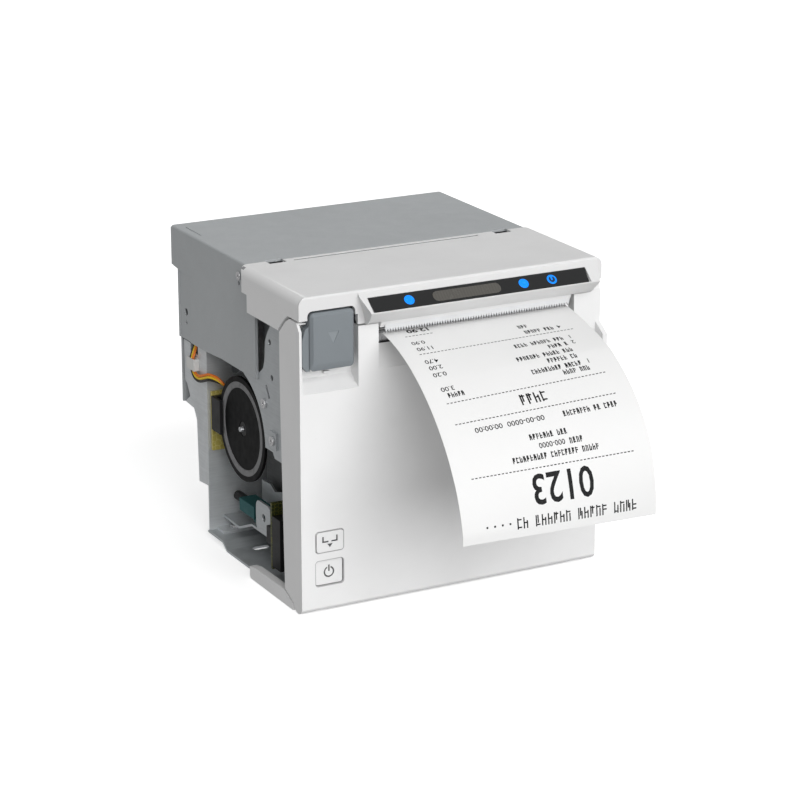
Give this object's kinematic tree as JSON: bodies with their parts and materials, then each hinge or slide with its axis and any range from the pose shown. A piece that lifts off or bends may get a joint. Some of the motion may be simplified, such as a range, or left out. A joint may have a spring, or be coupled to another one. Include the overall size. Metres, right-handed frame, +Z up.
{
  "type": "receipt printer",
  "caption": "Compact thermal receipt printer with an open steel frame, hinged front cover, pull-down opening lever, light panel and a receipt curling from its exit slot.",
  "frame": {"origin": "centre of the base plate's four mounting slots, on its underside", "axes": "+Z up, +X to the right seen from the front, +Y to the rear"},
  "size_m": [0.129, 0.1831, 0.124],
  "materials": {
    "white_shell": "satin moulded",
    "grey_paint": "fine matt paint",
    "steel": "plain galvanised sheet",
    "bright_steel": "polished",
    "alloy": "as extruded",
    "lever_grey": "fine texture",
    "black_plastic": "moulded",
    "dark_plastic": "moulded",
    "panel_black": "gloss",
    "window": "tinted",
    "blue_light": "lit lens",
    "rubber": "ground",
    "ceramic": "glazed line",
    "paper": "smooth thermal paper",
    "card": "wound core",
    "board": "solder mask",
    "sensor_board": "bare board",
    "teal": "moulded",
    "orange_wire": "insulation",
    "yellow_wire": "insulation",
    "black_wire": "insulation",
    "white_gear": "acetal"
  },
  "bodies": {
    "root": {"base_plate": "steel", "left_frame": "steel", "left_back_panel": "steel", "right_frame": "steel", "roll_bay": "dark_plastic", "rear_panel": "steel", "rear_cover": "grey_paint", "top_bezel": "white_shell", "status_panel": "panel_black", "status_window": "window", "status_lights": "blue_light", "base_skirt": "white_shell", "tear_bar": "bright_steel", "cutter_frame": "steel", "cutter_motor": "dark_plastic", "head_springs": "bright_steel", "feed_motor": "black_plastic", "gear_bracket": "steel", "hub_spring": "bright_steel", "sensor_board": "sensor_board", "slotted_sensor": "black_plastic", "wire_clip": "white_gear", "wire_orange": "orange_wire", "wire_yellow": "yellow_wire", "wire_black": "black_wire", "adjuster_bracket": "steel", "main_board": "board", "board_connectors": "black_plastic", "rear_sockets": "dark_plastic", "frame_screws": "bright_steel", "cover_screws": "bright_steel", "paper_web": "paper"},
    "cover": {"front_cover": "white_shell", "paper_guide": "dark_plastic", "fixed_blade": "bright_steel", "hinge_pins": "bright_steel", "button_board": "board", "platen_bushes": "black_plastic", "lever_spring": "bright_steel", "receipt": "paper"},
    "platen": {"platen_roller": "rubber", "platen_shaft": "bright_steel", "platen_gear": "black_plastic"},
    "lever": {"open_lever": "lever_grey"},
    "release": {"release_shaft": "dark_plastic"},
    "feed_key": {"feed_button": "white_shell"},
    "power_key": {"power_button": "white_shell"},
    "cutter_blade": {"moving_blade": "bright_steel"},
    "cutter_wheel": {"cutter_gear": "white_gear"},
    "cutter_drive": {"cutter_pinion": "white_gear"},
    "print_head": {"thermal_head": "ceramic", "head_bracket": "alloy"},
    "feed_drive": {"motor_pinion": "black_plastic"},
    "idler": {"idler_gear": "black_plastic"},
    "roll": {"paper_roll": "paper", "roll_core": "card", "left_hub": "black_plastic", "encoder_disc": "black_plastic"},
    "end_hub": {"right_hub": "black_plastic"},
    "adjuster": {"near_end_adjuster": "teal"}
  },
  "joints": [
    {"name": "cover_hinge", "type": "hinge", "parent": "root", "child": "cover", "pos_m": [0, -0.0435, 0.004], "axis": [1, 0, 0], "range_deg": [0, 78], "deforming": ["receipt"]},
    {"name": "lever_slide", "type": "slide", "parent": "cover", "child": "lever", "axis": [0, 0, -1], "range_m": [0, 0.005], "stiffness_N_per_m": 400, "springref_m": -0.004, "deforming": ["lever_spring"]},
    {"name": "release_turn", "type": "hinge", "parent": "cover", "child": "release", "pos_m": [0, -0.0358, 0.084], "axis": [1, 0, 0], "range_deg": [-36, 0]},
    {"name": "feed_key_press", "type": "slide", "parent": "cover", "child": "feed_key", "axis": [0, 1, 0], "range_m": [0, 0.0008], "stiffness_N_per_m": 600, "springref_m": -0.001},
    {"name": "power_key_press", "type": "slide", "parent": "cover", "child": "power_key", "axis": [0, 1, 0], "range_m": [0, 0.0008], "stiffness_N_per_m": 600, "springref_m": -0.001},
    {"name": "platen_spin", "type": "hinge", "parent": "cover", "child": "platen", "pos_m": [0, -0.0335, 0.1], "axis": [1, 0, 0], "continuous": true},
    {"name": "idler_spin", "type": "hinge", "parent": "root", "child": "idler", "pos_m": [0, -0.0188, 0.1], "axis": [1, 0, 0], "continuous": true},
    {"name": "feed_motor_spin", "type": "hinge", "parent": "root", "child": "feed_drive", "pos_m": [0, -0.0107, 0.09035], "axis": [1, 0, 0], "continuous": true},
    {"name": "roll_spin", "type": "hinge", "parent": "root", "child": "roll", "pos_m": [0, 0.019, 0.054], "axis": [1, 0, 0], "continuous": true},
    {"name": "end_hub_slide", "type": "slide", "parent": "root", "child": "end_hub", "axis": [1, 0, 0], "range_m": [0, 0.0055], "stiffness_N_per_m": 300, "springref_m": -0.004, "deforming": ["hub_spring"]},
    {"name": "cutter_slide", "type": "slide", "parent": "root", "child": "cutter_blade", "axis": [0, 0, -1], "range_m": [0, 0.0045]},
    {"name": "cutter_wheel_turn", "type": "hinge", "parent": "root", "child": "cutter_wheel", "pos_m": [0, -0.0336, 0.112], "axis": [1, 0, 0], "range_deg": [0, 52.5]},
    {"name": "cutter_drive_turn", "type": "hinge", "parent": "root", "child": "cutter_drive", "pos_m": [0, -0.0216, 0.1126], "axis": [1, 0, 0], "range_deg": [-122, 0]},
    {"name": "head_tilt", "type": "hinge", "parent": "root", "child": "print_head", "pos_m": [0, -0.018, 0.106], "axis": [-1, 0, 0], "range_deg": [0, 1.5], "stiffness_Nm_per_rad": 6, "springref_deg": -5.73, "deforming": ["head_springs"]},
    {"name": "adjuster_slide", "type": "slide", "parent": "root", "child": "adjuster", "axis": [0, 1, 0], "range_m": [-0.009, 0]}
  ],
  "couplings": [
    {"joint": "release_turn", "follows": "lever_slide", "rad_per_m": -120},
    {"joint": "platen_spin", "follows": "roll_spin", "ratio": 8},
    {"joint": "idler_spin", "follows": "roll_spin", "ratio": -6},
    {"joint": "feed_motor_spin", "follows": "roll_spin", "ratio": 12},
    {"joint": "cutter_wheel_turn", "follows": "cutter_slide", "rad_per_m": 200},
    {"joint": "cutter_drive_turn", "follows": "cutter_slide", "rad_per_m": -466.67}
  ]
}
